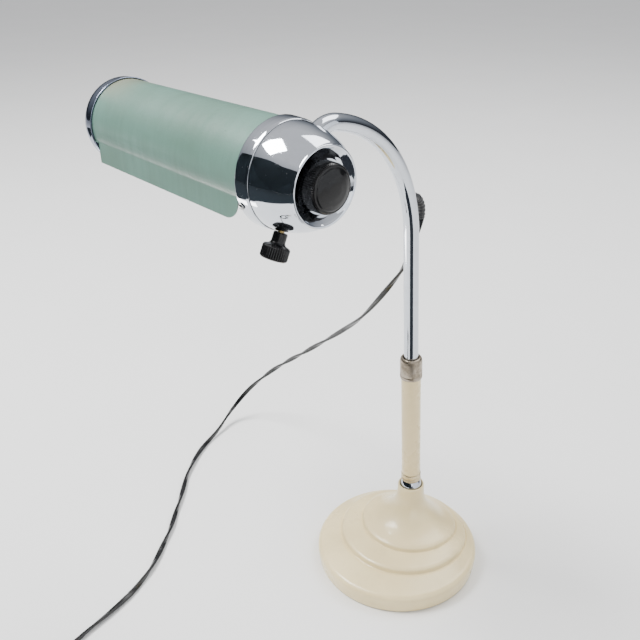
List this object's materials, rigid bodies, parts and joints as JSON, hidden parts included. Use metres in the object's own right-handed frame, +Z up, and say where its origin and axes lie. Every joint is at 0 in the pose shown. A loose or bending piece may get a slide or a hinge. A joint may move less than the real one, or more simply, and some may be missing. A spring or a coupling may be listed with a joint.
{
  "type": "swing arm desk lamp",
  "caption": "Desk lamp with a stepped round base, ball-jointed stem, curved chrome arm, drum housing with black knobs, half-tube shade and a coiled flex with a plug.",
  "frame": {"origin": "centre of the round base's underside, on the table", "axes": "+Z up; the lamp faces -Y, the shade runs along X with its knob end towards +X"},
  "size_m": [0.3713, 0.4304, 0.4505],
  "materials": {
    "cream_enamel": "gloss enamel, aged",
    "mint_enamel": "worn enamel",
    "chrome": "polished, worn",
    "worn_brass": "worn plating",
    "brass": "turned",
    "steel": "zinc plated",
    "iron": "as cast",
    "felt": "felt",
    "fibre": "pressed fibre",
    "porcelain": "glazed",
    "bulb_glass": "frosted",
    "bakelite": "moulded, semi-gloss",
    "flex": "glossy"
  },
  "bodies": {
    "base": {"base_shell": "cream_enamel", "base_weight": "iron", "felt_pad": "felt", "seat_cup": "brass", "pressure_spring": "steel", "tension_plug": "brass", "weight_screw_1": "steel", "weight_screw_2": "steel", "weight_screw_3": "steel", "cord_main": "flex", "cord_coil": "flex", "coil_tie": "flex", "cord_tail": "flex", "plug_body": "bakelite", "plug_blade_1": "brass", "plug_blade_2": "brass"},
    "stem": {"ball_stud": "chrome", "stem_collar": "worn_brass", "stem_plug": "steel", "stem_tube": "cream_enamel", "ferrule": "worn_brass", "friction_sleeve": "brass", "cord_upper": "flex"},
    "arm": {"arm_tube": "chrome", "arm_stop_ring": "steel", "lamp_lead": "flex", "arm_locknut": "brass", "housing_cup": "chrome", "swivel_plate": "steel", "lamp_socket": "porcelain", "bulb_cap": "brass", "bulb_glass": "bulb_glass", "switch_body": "bakelite", "strain_relief": "flex"},
    "shade": {"shade_carrier": "steel", "friction_washer": "fibre", "band_ring": "chrome", "shade_shell": "mint_enamel", "far_cap": "chrome", "band_screw_1": "steel", "band_screw_2": "steel"},
    "clamp_knob": {"end_knob": "bakelite", "clamp_rod": "steel"},
    "switch": {"switch_knob": "bakelite", "switch_shaft": "brass"}
  },
  "joints": [
    {"name": "stem_tilt", "type": "hinge", "parent": "base", "child": "stem", "pos_m": [0, 0.0196, 0.0737], "axis": [1, 0, 0], "range_deg": [-17.5, 12]},
    {"name": "arm_turn", "type": "hinge", "parent": "stem", "child": "arm", "pos_m": [0, 0.0196, 0.0737], "axis": [-0.0081, -0.0498, 0.9987], "range_deg": [-90, 90]},
    {"name": "shade_turn", "type": "hinge", "parent": "arm", "child": "shade", "pos_m": [-0.0203, -0.1182, 0.4119], "axis": [0.9969, -0.0783, 0], "range_deg": [-60, 60]},
    {"name": "clamp_knob_turn", "type": "hinge", "parent": "arm", "child": "clamp_knob", "pos_m": [-0.0203, -0.1182, 0.4119], "axis": [0.9969, -0.0783, 0], "range_deg": [-180, 180]},
    {"name": "switch_knob_turn", "type": "hinge", "parent": "arm", "child": "switch", "pos_m": [-0.00236, -0.11961, 0.4119], "axis": [-0.0332, -0.4213, -0.9063], "continuous": true}
  ]
}
